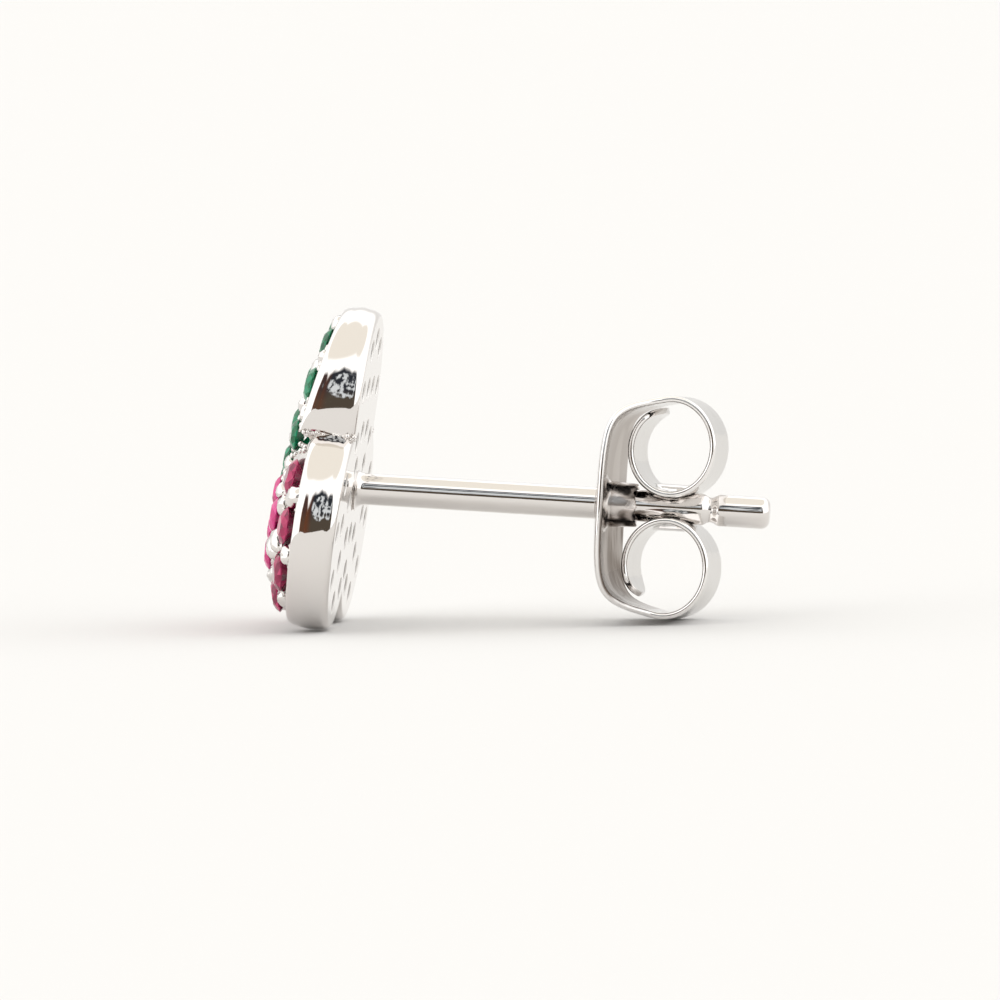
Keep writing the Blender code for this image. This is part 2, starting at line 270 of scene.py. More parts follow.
def web_faces(outline, outline_first, circles, circles_first, radii, inset):
    """Triangles that fill the trefoil outline between round holes: a constrained Delaunay net of
    their points, less the triangles in a hole or outside every lobe."""
    points = np.vstack([outline, circles.reshape(-1, 2)]) / MM
    loops = [(0, len(outline))]
    loops += [(len(outline) + k * HOLE_POINTS, HOLE_POINTS) for k in range(len(circles))]
    edges = [(start + i, start + (i + 1) % count) for start, count in loops for i in range(count)]
    net = delaunay_2d_cdt([tuple(point) for point in points], edges, [], 0, 1e-7)
    faces = np.array(net[2])
    middle = points[faces].mean(axis=1) * MM
    apothem = math.cos(math.pi / HOLE_POINTS)
    in_hole = distances(middle, circles.mean(axis=1)) < radii * apothem
    in_lobe = distances(middle, lobe_centres()) < LOBE_RADIUS - inset
    faces = faces[in_lobe.any(axis=1) & ~in_hole.any(axis=1)]
    ids = np.concatenate([outline_first + np.arange(len(outline)), circles_first.ravel()])
    return ids[faces]


def new_piece(name, points, faces, material, crease=35, flat=False):
    """A closed mesh object of these points and faces, facing outwards, creased at sharp edges."""
    mesh = bpy.data.meshes.new(name)
    mesh.from_pydata(points.reshape(-1, 3).tolist(), [], [list(face) for face in faces])
    shell = bmesh.new()
    shell.from_mesh(mesh)
    bmesh.ops.recalc_face_normals(shell, faces=shell.faces)
    shell.to_mesh(mesh)
    shell.free()
    if not flat:
        mesh.shade_smooth()
        mesh.set_sharp_from_angle(angle=math.radians(crease))
    mesh.materials.append(material)
    piece = bpy.data.objects.new(name, mesh)
    bpy.context.scene.collection.objects.link(piece)
    return piece


def sharpen_within(piece, flat_points):
    """Marks edges that join two of these points as sharp, so that a flat stays flat to its bevel."""
    mesh = piece.data
    ends = np.empty(2 * len(mesh.edges), np.int32)
    mesh.edges.foreach_get("vertices", ends)
    marked = np.zeros(len(mesh.vertices), bool)
    marked[flat_points] = True
    sharp = mesh.attributes.get("sharp_edge") or mesh.attributes.new("sharp_edge", "BOOLEAN", "EDGE")
    already = np.zeros(len(mesh.edges), bool)
    sharp.data.foreach_get("value", already)
    sharp.data.foreach_set("value", already | marked[ends.reshape(-1, 2)].all(axis=1))


def cup_profile():
    """(inset, share of the wall's height, offset) of each row up the wall: a quarter round at the
    back, a wall that swells by WALL_BARREL in the middle, a quarter round into the rim, and a step
    down to the bed."""
    quarter = np.linspace(0, math.pi / 2, ROUND_STEPS)
    up_wall = np.linspace(0, 1, WALL_STEPS)[1:-1]
    barrel = WALL_BARREL * (2 * up_wall - 1) ** 2 - WALL_SWELL
    ends = WALL_BARREL - WALL_SWELL
    inset = [ends + BACK_ROUND * (1 - np.sin(quarter)), barrel]
    inset += [ends + RIM_ROUND * (1 - np.cos(quarter)), [BED_INSET - RIM_LIP, BED_INSET]]
    share = [0 * quarter, up_wall, 1 + 0 * quarter, [1, 1]]
    offset = [BACK_ROUND_DEEP * (1 - np.cos(quarter))]
    offset += [BACK_ROUND_DEEP - up_wall * (BACK_ROUND_DEEP + RIM_ROUND_DEEP)]
    offset += [-RIM_ROUND_DEEP * (1 - np.sin(quarter)), [-RIM_LIP_DROP, -BED_DROP]]
    return np.concatenate(inset), np.concatenate(share), np.concatenate(offset)


def make_cup(polished, as_drilled):
    """The cup with its wall, rim, drilled back and drilled front web, as one closed mesh that is
    polished all over but for the insides of its holes."""
    inset, share, offset = cup_profile()
    outlines = lobed(inset)
    height = share[:, None] * wall_height(lobed(0.0)) + offset[:, None]
    height[-1] = dome(outlines[-1]) - BED_DROP
    wall = on_head(outlines, height)
    count = outlines.shape[1]
    turn = np.linspace(0, 2 * np.pi, HOLE_POINTS, endpoint=False)
    circle = np.stack([np.sin(turn), np.cos(turn)], axis=1)
    gallery = np.full(len(STONES), GALLERY_RADIUS)
    seat = STONE_RADII + STONE_ROOM
    radii = [gallery + GALLERY_BEVEL, gallery, gallery, seat - SEAT_TAPER, seat, seat + SEAT_CHAMFER]
    radii = np.stack(radii)
    rings = STONES[None, :, None] + radii[..., None, None] * circle
    below_bed = np.array([SEAT_DEPTH, SEAT_CHAMFER, 0])[:, None, None]
    behind = np.array([0, GALLERY_BEVEL, FLOOR_THICKNESS])[:, None, None]
    forward = np.concatenate([behind + 0 * rings[:3, ..., 0], dome(rings[3:]) - BED_DROP - below_bed])
    holes = on_head(rings, forward)
    ids = wall.shape[0] * count + np.arange(rings[..., 0].size).reshape(rings.shape[:3])
    faces = [grid_faces(len(wall), count)]
    tube = np.stack([ids[:-1], np.roll(ids[:-1], -1, 2), np.roll(ids[1:], -1, 2), ids[1:]], axis=-1)
    faces.append(tube.reshape(-1, 4))
    back = web_faces(outlines[0], 0, rings[0], ids[0], radii[0], inset[0])
    front = web_faces(outlines[-1], (len(wall) - 1) * count, rings[-1], ids[-1], radii[-1], inset[-1])
    every = [face for group in (*faces, back, front) for face in group.tolist()]
    cup = new_piece("head_cup", np.vstack([wall.reshape(-1, 3), holes.reshape(-1, 3)]), every, polished)
    cup.data.materials.append(as_drilled)
    drilled = np.zeros(len(every), np.int32)
    drilled[len(faces[0]) : len(faces[0]) + len(faces[1])] = 1
    cup.data.polygons.foreach_set("material_index", drilled)
    sharpen_within(cup, np.concatenate([np.arange(count), ids[0].ravel()]))
    sharpen_within(cup, np.concatenate([(len(wall) - 1) * count + np.arange(count), ids[-1].ravel()]))
    return cup


def new_material(name, surface):
    """A material whose shader has these values, with its nodes, its links and the shader's inputs."""
    material = bpy.data.materials.new(name)
    material.use_nodes = True
    tree = material.node_tree
    shader = tree.nodes["Principled BSDF"].inputs
    for socket, value in surface.items():
        shader[socket].default_value = value
    return material, tree.nodes, tree.links, shader


def add(nodes, kind, inputs=None, **settings):
    """A new shader node with its attributes and the values of its inputs set."""
    node = nodes.new(kind)
    for name, value in settings.items():
        setattr(node, name, value)
    for name, value in (inputs or {}).items():
        node.inputs[name].default_value = value
    return node


def join(links, *pairs):
    """Links each output to the input that stands beside it."""
    for output, socket in pairs:
        links.new(output, socket)


def tumble_group():
    """A node group for tumbled, handled metal: soft waviness and fine scratches as a height, and a
    roughness that rises where the scratches lie."""
    group = bpy.data.node_groups.new("tumbled_polish", "ShaderNodeTree")
    face, nodes = group.interface, group.nodes
    for name in ("Wave Size", "Scratches", "Roughness"):
        face.new_socket(name, in_out="INPUT", socket_type="NodeSocketFloat")
    for name in ("Height", "Roughness"):
        face.new_socket(name, in_out="OUTPUT", socket_type="NodeSocketFloat")
    given, out = nodes.new("NodeGroupInput").outputs, nodes.new("NodeGroupOutput").inputs
    place = nodes.new("ShaderNodeTexCoord").outputs["Object"]
    wave = add(nodes, "ShaderNodeTexNoise", {"Detail": 1.0})
    streaks = add(nodes, "ShaderNodeMapping", {"Rotation": SCRATCH_TURN, "Scale": SCRATCH_STRETCH})
    scratch = add(nodes, "ShaderNodeTexNoise", {"Scale": SCRATCH_SIZE, "Detail": 2.0})
    edges = {"From Min": SCRATCH_EDGES[0], "From Max": SCRATCH_EDGES[1]}
    thin = add(nodes, "ShaderNodeMapRange", edges, interpolation_type="SMOOTHSTEP")
    marked = add(nodes, "ShaderNodeMath", operation="MULTIPLY")
    depth = add(nodes, "ShaderNodeMath", {1: -SCRATCH_DEPTH}, operation="MULTIPLY_ADD")
    rough = add(nodes, "ShaderNodeMath", {1: SCRATCH_ROUGHNESS}, operation="MULTIPLY_ADD")
    join(
        group.links,
        (place, wave.inputs["Vector"]),
        (given["Wave Size"], wave.inputs["Scale"]),
        (place, streaks.inputs["Vector"]),
        (streaks.outputs["Vector"], scratch.inputs["Vector"]),
        (scratch.outputs["Fac"], thin.inputs["Value"]),
        (thin.outputs["Result"], marked.inputs[0]),
        (given["Scratches"], marked.inputs[1]),
        (marked.outputs[0], depth.inputs[0]),
        (wave.outputs["Fac"], depth.inputs[2]),
        (marked.outputs[0], rough.inputs[0]),
        (given["Roughness"], rough.inputs[2]),
        (depth.outputs[0], out["Height"]),
        (rough.outputs[0], out["Roughness"]),
    )
    return group


TUMBLED = tumble_group()


def silver(name, colour, roughness, wave_size, wave_height, scratches):
    """Rhodium plated silver with the tumbled finish, its waves wave_height high."""
    surface = {"Base Color": (*colour, 1), "Metallic": 1.0}
    material, nodes, links, shader = new_material(name, surface)
    chosen = {"Wave Size": wave_size, "Scratches": scratches, "Roughness": roughness}
    finish = add(nodes, "ShaderNodeGroup", chosen, node_tree=TUMBLED).outputs
    bump = add(nodes, "ShaderNodeBump", {"Strength": 1.0, "Distance": wave_height})
    join(
        links,
        (finish["Height"], bump.inputs["Height"]),
        (finish["Roughness"], shader["Roughness"]),
        (bump.outputs["Normal"], shader["Normal"]),
    )
    return material


STONES = stone_places()
STONE_RADII = stone_sizes(STONES)
polished = silver("polished silver", SILVER_COLOUR, **POLISHED)
as_drilled = silver("drilled silver", DRILLED_COLOUR, **DRILLED)
cup = make_cup(polished, as_drilled)
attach(cup, "head")
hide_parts("setting_with_post")

# The stones: round brilliants just under a millimetre across, green in the upper lobe, ruby along
# the edges of the lower lobes and pink inside them. Each sits in its seat, tipped by half as much as
# the dome is.
TABLE_RADIUS = 0.56
CROWN_RISE = 0.32
BEZEL_RADIUS = 0.80
GIRDLE_HALF = 0.03
PAVILION_DEPTH = 0.86
PAVILION_BREAK = 0.25
STONE_LIFT = 0.03 * MM
SEAT_TILT = 0.50
SLOPE_STEP = 0.1 * MM
ROW_MARGIN = 0.1 * MM
# Each facet's colour is painted light: its chance brightness, mottled by noise, runs from a painted dark
# shade to a painted flash, standing in for what the stone reflects.
GLEAM_SHARE = 0.55
PAINTED_NOISE_SIZE = 1400.0
DEEP_UP_TO, FLASH_FROM = 0.15, 0.85
GEM_SURFACE = {"Roughness": 0.03, "IOR": 1.5, "Specular IOR Level": 0.35, "Transmission Weight": 0.15}


def brilliant():
    """Points, triangles and each triangle's facet of a round brilliant of radius 1.

    Eight table corners, eight points between table and girdle, two girdle rings of sixteen, eight
    points between girdle and culet, and the culet. The points between lie in the planes of the kites.
    """
    eighth = np.radians(45 * np.arange(8))
    between = eighth + np.radians(22.5)
    sixteenth = np.radians(22.5 * np.arange(16))

    def ring(angle, radius, height):
        return np.stack([radius * np.sin(angle), radius * np.cos(angle), height + 0 * angle], axis=1)

    inward = math.cos(math.radians(22.5))
    slope = (GIRDLE_HALF - CROWN_RISE) / (1 - TABLE_RADIUS)
    bezel_height = CROWN_RISE + (BEZEL_RADIUS * inward - TABLE_RADIUS) * slope
    break_height = (PAVILION_DEPTH - GIRDLE_HALF) * PAVILION_BREAK * inward - PAVILION_DEPTH
    points = [ring(eighth, TABLE_RADIUS, CROWN_RISE), ring(between, BEZEL_RADIUS, bezel_height)]
    points += [ring(sixteenth, 1.0, GIRDLE_HALF), ring(sixteenth, 1.0, -GIRDLE_HALF)]
    points += [ring(between, PAVILION_BREAK, break_height), np.array([[0.0, 0.0, -PAVILION_DEPTH]])]
    k = np.arange(8)
    table, bezel, above, below, lower, culet = 0, 8, 16, 32, 48, 56
    after, before = (k + 1) % 8, (k - 1) % 8
    even, odd, next_even = 2 * k, 2 * k + 1, (2 * k + 2) % 16
    j = np.arange(16)
    sides = [
        (np.zeros(6, int), np.arange(1, 7), np.arange(2, 8)),
        (table + k, bezel + k, table + after),
        (table + k, bezel + before, above + even),
        (table + k, above + even, bezel + k),
        (bezel + k, above + even, above + odd),
        (bezel + k, above + odd, above + next_even),
        (above + j, below + j, below + (j + 1) % 16),
        (above + j, below + (j + 1) % 16, above + (j + 1) % 16),
        (lower + k, below + odd, below + even),
        (lower + k, below + next_even, below + odd),
        (culet + 0 * k, below + even, lower + before),
        (culet + 0 * k, lower + k, below + even),
    ]
    facets = [np.zeros(6, int), 1 + k, 9 + k, 9 + k, 17 + k, 25 + k, 33 + j, 33 + j]
    facets += [49 + k, 57 + k, 65 + k, 65 + k]
    triangles = np.vstack([np.stack(np.broadcast_arrays(*side), axis=1) for side in sides])
    return np.vstack(points), triangles, np.concatenate(facets)


def facing(places):
    """Sideways, upward and outward unit directions of the seat at each place, in world space. The
    seats take SEAT_TILT of the dome's own slopes across and up."""
    step = SLOPE_STEP * np.eye(2)[:, None]
    slopes = (dome(places - step) - dome(places + step)) / (2 * SLOPE_STEP)
    across, up = SEAT_TILT * slopes[..., None]
    outward = across * ACROSS + up * HEAD_UP - HEAD_BACK
    outward /= np.linalg.norm(outward, axis=1, keepdims=True)
    sideways = np.cross(HEAD_UP, outward) * -1
    sideways /= np.linalg.norm(sideways, axis=1, keepdims=True)
    return sideways, np.cross(sideways, outward) * -1, outward


def set_stones(name, places, radii, material, seed):
    """One joined mesh of the stones at these places, each turned its own way in its seat, with a
    painted brightness for each facet, standing in for the light that it reflects, in the attribute gleam."""
    shape, triangles, facets = brilliant()
    chance = np.random.default_rng(seed)
    turn = chance.uniform(0, 2 * np.pi, len(places))[:, None]
    x = shape[:, 0] * np.cos(turn) + shape[:, 1] * np.sin(turn)
    y = shape[:, 1] * np.cos(turn) - shape[:, 0] * np.sin(turn)
    local = np.stack([x, y, np.broadcast_to(shape[:, 2], x.shape)], axis=2) * radii[:, None, None]
    sideways, upward, outward = facing(places)
    girdle = on_head(places, dome(places) - BED_DROP + STONE_LIFT)
    points = girdle[:, None] + local[..., :1] * sideways[:, None]
    points = points + local[..., 1:2] * upward[:, None] + local[..., 2:] * outward[:, None]
    faces = triangles[None] + len(shape) * np.arange(len(places))[:, None, None]
    piece = new_piece(name, points, faces.reshape(-1, 3), material, flat=True)
    gleam = chance.uniform(0, 1, (len(places), facets.max() + 1))[:, facets]
    attribute = piece.data.attributes.new("gleam", "FLOAT", "FACE")
    attribute.data.foreach_set("value", gleam.astype(np.float32).ravel())
    return piece


def gem(name, deep, body, flash):
    """Clear coloured stone with painted light: its facets run from a painted deep shade through the body
    colour to a painted flash by their gleam, of which noise makes up the rest."""
    material, nodes, links, shader = new_material(name, GEM_SURFACE)
    gleam = add(nodes, "ShaderNodeAttribute", attribute_name="gleam")
    painted_noise = add(nodes, "ShaderNodeTexNoise", {"Scale": PAINTED_NOISE_SIZE})
    rest = add(nodes, "ShaderNodeMath", {1: 1 - GLEAM_SHARE}, operation="MULTIPLY")
    both = add(nodes, "ShaderNodeMath", {1: GLEAM_SHARE}, operation="MULTIPLY_ADD")
    ramp = nodes.new("ShaderNodeValToRGB")
    steps = ramp.color_ramp.elements
    steps[0].position, steps[0].color = DEEP_UP_TO, (*deep, 1)
    steps[1].position, steps[1].color = FLASH_FROM, (*flash, 1)
    steps.new(0.5).color = (*body, 1)
    join(
        links,
        (nodes.new("ShaderNodeTexCoord").outputs["Object"], painted_noise.inputs["Vector"]),
        (painted_noise.outputs["Fac"], rest.inputs[0]),
        (gleam.outputs["Fac"], both.inputs[0]),
        (rest.outputs[0], both.inputs[2]),
        (both.outputs[0], ramp.inputs["Fac"]),
        (ramp.outputs["Color"], shader["Base Color"]),
    )
    return material


on_upper_lobe = np.linalg.norm(STONES - lobe_centres()[0], axis=1) < LOBE_RADIUS
on_edge = LOBE_RADIUS - distances(STONES, lobe_centres()).min(axis=1) < ROW_INSET + ROW_MARGIN
green_glass = gem("green stone", (0.0, 0.045, 0.02), (0.003, 0.20, 0.075), (0.02, 0.38, 0.20))
ruby_glass = gem("ruby stone", (0.16, 0.0, 0.035), (0.42, 0.02, 0.10), (0.72, 0.06, 0.20))
pink_glass = gem("pink stone", (0.35, 0.0, 0.08), (0.68, 0.03, 0.22), (0.95, 0.12, 0.42))
for name, chosen, material, slot, node, seed in (
    ("green_stones", on_upper_lobe, green_glass, "green_stone", "green_paving", 11),
    ("ruby_stones", ~on_upper_lobe & on_edge, ruby_glass, "ruby_stone", "ruby_paving", 12),
    ("pink_stones", ~on_upper_lobe & ~on_edge, pink_glass, "ruby_stone", "ruby_paving", 13),
):
    stones = set_stones(name, STONES[chosen], STONE_RADII[chosen], material, seed)
    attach(stones, "head")
    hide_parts(node)

# The beads that hold the stones: curls of the web's own silver, raised with a graver between each
# two or three stones and pushed over their girdles with a cup-ended punch. The cutting leaves small
# bright grains and burrs between them.
BEAD_RADIUS = 0.215 * MM
LOWER_BEADS = 1.18
BEAD_STRETCH = 1.5
BEAD_FLATNESS = 0.85
BEAD_LUMPS = 0.14
BEAD_SINK = 0.05 * MM
NEIGHBOUR_REACH = 1.5 * MM
BEAD_OFFSET = 0.36 * MM
BEAD_MERGE = 0.36 * MM
BEAD_APART = 0.25 * MM
BEAD_OVERLAP = 0.86
MERGE_ROUNDS = 3
SIZE_SPREAD = 0.2
BEAD_GRID = (7, 14)
GRAIN_RADIUS = 0.08 * MM
GRAIN_TRIES = 1500
GRAIN_APART = 0.13 * MM
GRAIN_GRID = (3, 7)
NOTCH_CRUMBS = 34
CRUMB_RADIUS = 0.065 * MM
CRUMB_INSET = 0.04 * MM
CRUMB_SPREAD = 0.05 * MM
CRUMBS_UP_TO = 0.78
BRIGHT_CUT = {"roughness": 0.13, "wave_size": 2600.0, "wave_height": 0.02 * MM, "scratches": 0.6}


def bead_places():
    """(across, up) of the beads: two for each pair of neighbouring stones, to each side of the line
    between them. Those that fall together are made one, and those over a stone are left out."""
    one, two = np.triu_indices(len(STONES), 1)
    apart = STONES[two] - STONES[one]
    length = np.linalg.norm(apart, axis=1)
    near = length < NEIGHBOUR_REACH
    one, two, apart, length = one[near], two[near], apart[near], length[near]
    normal = np.stack([-apart[:, 1], apart[:, 0]], axis=1) / length[:, None]
    middle = (STONES[one] + STONES[two]) / 2
    wanted = np.vstack([middle + BEAD_OFFSET * normal, middle - BEAD_OFFSET * normal])
    for _ in range(MERGE_ROUNDS):
        together = distances(wanted, wanted) < BEAD_MERGE
        wanted = together @ wanted / together.sum(axis=1, keepdims=True)
    wanted = first_of_near(wanted, BEAD_APART)
    over_stone = distances(wanted, STONES) < STONE_RADII * BEAD_OVERLAP
    in_lobe = distances(wanted, lobe_centres()).min(axis=1)
    return wanted[~over_stone.any(axis=1) & (in_lobe < LOBE_RADIUS - BED_INSET)]


def first_of_near(places, apart):
    """The places that have no earlier one nearer than apart."""
    near = distances(places, places) < apart
    return places[~np.tril(near, -1).any(axis=1)]


def grain_places():
    """(across, up) of the grains: chance places on the web between the stones, thinned out."""
    tries = np.random.default_rng(22).uniform(-1, 1, (GRAIN_TRIES, 2)) * (LOBE_REACH + LOBE_RADIUS)
    in_lobe = distances(tries, lobe_centres()).min(axis=1)
    clear = distances(tries, STONES) > STONE_RADII
    return first_of_near(tries[(in_lobe < LOBE_RADIUS - BED_INSET) & clear.all(axis=1)], GRAIN_APART)


def notch_places():
    """(across, up) places, and forward ones, of the crumbs in the two notches beside the upper lobe."""
    chance = np.random.default_rng(24)
    side = np.repeat([-1.0, 1.0], NOTCH_CRUMBS)
    notch = np.pi / LOBE_COUNT
    crossing = crossing_reach(LOBE_RADIUS) - CRUMB_INSET
    places = crossing * np.stack([side * math.sin(notch), math.cos(notch) + 0 * side], axis=1)
    spread = CRUMB_SPREAD * chance.uniform(-1, 1, places.shape)
    return places + spread, UPPER_WALL * chance.uniform(0.0, CRUMBS_UP_TO, len(side))


def lumps(name, places, forward, radius, grid, material, seed):
    """Joined round lumps on the head, each stretched its own way by up to BEAD_STRETCH, flattened by
    BEAD_FLATNESS and uneven by BEAD_LUMPS times waves of two and three turns round it."""
    chance = np.random.default_rng(seed)
    rows, columns = grid
    count = len(places)
    latitude = np.linspace(-np.pi / 2, np.pi / 2, rows + 2)[1:-1, None]
    longitude = np.linspace(0, 2 * np.pi, columns, endpoint=False)[None]
    size = chance.uniform(1 - SIZE_SPREAD, 1 + SIZE_SPREAD, (count, 1, 1))
    size = size * np.reshape(radius, (-1, 1, 1))
    stretch = chance.uniform(1.0, BEAD_STRETCH, (count, 1, 1))
    turn, two, three = chance.uniform(0, 2 * np.pi, (3, count, 1, 1))
    wave = np.sin(2 * longitude + two) + np.sin(3 * longitude + three + 2 * latitude)
    reach = size * (1 + BEAD_LUMPS * wave * np.cos(latitude))
    wide = reach * stretch * np.cos(latitude) * np.cos(longitude)
    high = reach * np.cos(latitude) * np.sin(longitude)
    tall = BEAD_FLATNESS * reach * np.sin(latitude)
    x = wide * np.cos(turn) - high * np.sin(turn)
    y = wide * np.sin(turn) + high * np.cos(turn)
    pole = BEAD_FLATNESS * size[:, :, 0] * np.array([0, 0, 1])
    local = np.stack([x, y, tall], axis=-1).reshape(count, -1, 3)
    local = np.concatenate([local, -pole[:, None], pole[:, None]], axis=1)
    axes = np.stack(facing(places), axis=1)
    points = on_head(places, forward)[:, None] + local @ axes
    column = np.arange(columns)
    after, last, south = (column + 1) % columns, (rows - 1) * columns, rows * columns
    low = np.stack([south + 0 * column, after, column], axis=1)
    top = np.stack([south + 1 + 0 * column, last + column, last + after], axis=1)
    shift = local.shape[1] * np.arange(count)[:, None, None]
    sides = (grid_faces(rows, columns), low, top)
    faces = [face for side in sides for face in (side + shift).reshape(-1, side.shape[1]).tolist()]
    return new_piece(name, points, faces, material, crease=80)


bright_cut = silver("bright cut silver", SILVER_COLOUR, **BRIGHT_CUT)
bead_spots, grain_spots = bead_places(), grain_places()
crumb_spots, crumb_heights = notch_places()
bead_heights, grain_heights = dome(bead_spots) - BED_DROP - BEAD_SINK, dome(grain_spots) - BED_DROP
on_lower_lobes = np.linalg.norm(bead_spots - lobe_centres()[0], axis=1) > LOBE_RADIUS
bead_radii = BEAD_RADIUS * np.where(on_lower_lobes, LOWER_BEADS, 1.0)
for beads in (
    lumps("setting_beads", bead_spots, bead_heights, bead_radii, BEAD_GRID, bright_cut, 21),
    lumps("cut_grains", grain_spots, grain_heights, GRAIN_RADIUS, GRAIN_GRID, bright_cut, 23),
    lumps("notch_crumbs", crumb_spots, crumb_heights, CRUMB_RADIUS, GRAIN_GRID, bright_cut, 25),
):
    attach(beads, "head")

# The ear post: drawn silver wire, soldered to the middle of the head's back, with a rolled groove
# that the clutch can snap into and a rounded tip.
POST_RADIUS = 0.40 * MM
POST_LENGTH = 10.5 * MM
POST_ROOT = 0.20 * MM
SOLDER_WIDTH = 0.18 * MM
SOLDER_LENGTH = 0.24 * MM
GROOVE_FROM_TIP = 1.5 * MM
GROOVE_HALF = 0.24 * MM
GROOVE_DEPTH = 0.09 * MM
TIP_ROUND = 0.22 * MM
POST_SIDES = 72
QUARTER_STEPS = 9
GROOVE_STEPS = 17
SHAFT_STEPS = 12
DRAWN = {"roughness": 0.06, "wave_size": 1500.0, "wave_height": 0.004 * MM, "scratches": 0.5}


def on_post(across, back, out):
    """World points of the post's own frame."""
    across, back, out = (np.asarray(part)[..., None] for part in (across, back, out))
    return POST_FOOT + across * ACROSS + back * POST_AXIS + out * POST_UP


def turned_post(material):
    """The post as a solid of revolution: a hollow quarter round of solder at its foot, a straight
    shaft, a groove whose depth follows cos^2 across its width, and a quarter round at the tip."""
    quarter = np.linspace(0, math.pi / 2, QUARTER_STEPS)
    groove = np.linspace(-1, 1, GROOVE_STEPS)
    along = [[-POST_ROOT, -POST_ROOT], SOLDER_LENGTH * (1 - np.cos(quarter))]
    radius = [[0.0, POST_RADIUS], POST_RADIUS + SOLDER_WIDTH * (1 - np.sin(quarter))]
    groove_start = POST_LENGTH - GROOVE_FROM_TIP - GROOVE_HALF
    shaft = np.linspace(SOLDER_LENGTH, groove_start, SHAFT_STEPS)[1:-1]
    along += [shaft, POST_LENGTH - GROOVE_FROM_TIP + GROOVE_HALF * groove]
    radius += [POST_RADIUS + 0 * shaft, POST_RADIUS - GROOVE_DEPTH * np.cos(groove * math.pi / 2) ** 2]
    along += [POST_LENGTH - TIP_ROUND * (1 - np.sin(quarter)), [POST_LENGTH]]
    radius += [POST_RADIUS - TIP_ROUND * (1 - np.cos(quarter)), [0.0]]
    along, radius = np.concatenate(along), np.concatenate(radius)
    turn = np.linspace(0, 2 * np.pi, POST_SIDES, endpoint=False)
    rings = on_post(
        radius[1:-1, None] * np.sin(turn), along[1:-1, None] + 0 * turn, radius[1:-1, None] * np.cos(turn)
    )
    ends = on_post(np.zeros(2), along[[0, -1]], np.zeros(2))
    side = np.arange(POST_SIDES)
    start, last = rings.shape[0] * POST_SIDES, (rings.shape[0] - 1) * POST_SIDES
    faces = grid_faces(len(rings), POST_SIDES).tolist()
    faces += np.stack([start + 0 * side, side, (side + 1) % POST_SIDES], axis=1).tolist()
    faces += np.stack([start + 1 + 0 * side, last + (side + 1) % POST_SIDES, last + side], axis=1).tolist()
    return new_piece("ear_post", np.vstack([rings.reshape(-1, 3), ends]), faces, material)


post = turned_post(silver("drawn silver wire", SILVER_COLOUR, **DRAWN))
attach(post, "head")

# The butterfly clutch: one strip of springy sheet silver. Its middle is a slightly dished oval
# plate, its two ends are rolled into scrolls that grip the post, and it slides on the post.
CLUTCH_FROM_TIP = 4.25 * MM
CLUTCH_TURN = math.radians(3)
CLUTCH_ROLL = math.radians(3)
SHEET_THICKNESS = 0.16 * MM
PLATE_HALF_WIDTH = 2.35 * MM
PLATE_CORNER_DROP = 0.43 * MM
PLATE_DISH_RADIUS = 12.0 * MM
ARM_HALF_WIDTH = 1.45 * MM
SCROLL_STANDOFF = 0.76 * MM
SCROLL_NEARNESS = 0.33 * MM
SCROLL_HALF_DEPTH = 1.06 * MM
SCROLL_HALF_HEIGHT = 1.20 * MM
SCROLL_START = math.radians(100)
SCROLL_NEAREST = math.radians(-90)
SCROLL_END = math.radians(-250)
LOWER_SCROLL_END = math.radians(-222)
SCROLL_CURL_IN = 0.20
CURL_POWER = 2.2
PLATE_HANDLE = 0.95
TONGUE_LENGTH = 0.55 * MM
TONGUE_TIP = 0.98
SLIDE_CLEARANCE = 0.03 * MM
PLATE_STEPS = 40
SCROLL_STEPS = 110
STRIP_STEPS = 40
EDGE_STEPS = 7
SKIN_STEP = 0.01 * MM

# Painted shade on the inside of the plate: a near black silver colour broken in clouds drawn out along it,
# lighter towards its top, with less glare at its edges.
SHADE_FROM_ARMS = 2.5
PAINTED_SHADE_COLOUR = (0.16, 0.13, 0.11)
PAINTED_SHADE_EDGE = (0.60, 0.57, 0.545)
UPPER_SHADE = 0.3
LEAST_SHADE = 0.45
SHADE_CLOUD_SIZE = 1600.0
SHADE_CLOUD_STRETCH = (1.0, 1.0, 0.3)
SHADE_CLOUD_EDGES = (0.38, 0.6)
SHEET_SILVER = (0.86, 0.84, 0.825)
SHEET_EDGE = (0.80, 0.795, 0.785)
PUNCHED_SILVER = (0.66, 0.62, 0.59)
ROLLED = {"roughness": 0.10, "wave_size": 1100.0, "wave_height": 0.018 * MM, "scratches": 0.9}
PUNCHED = {"roughness": 0.24, "wave_size": 1800.0, "wave_height": 0.02 * MM, "scratches": 1.0}


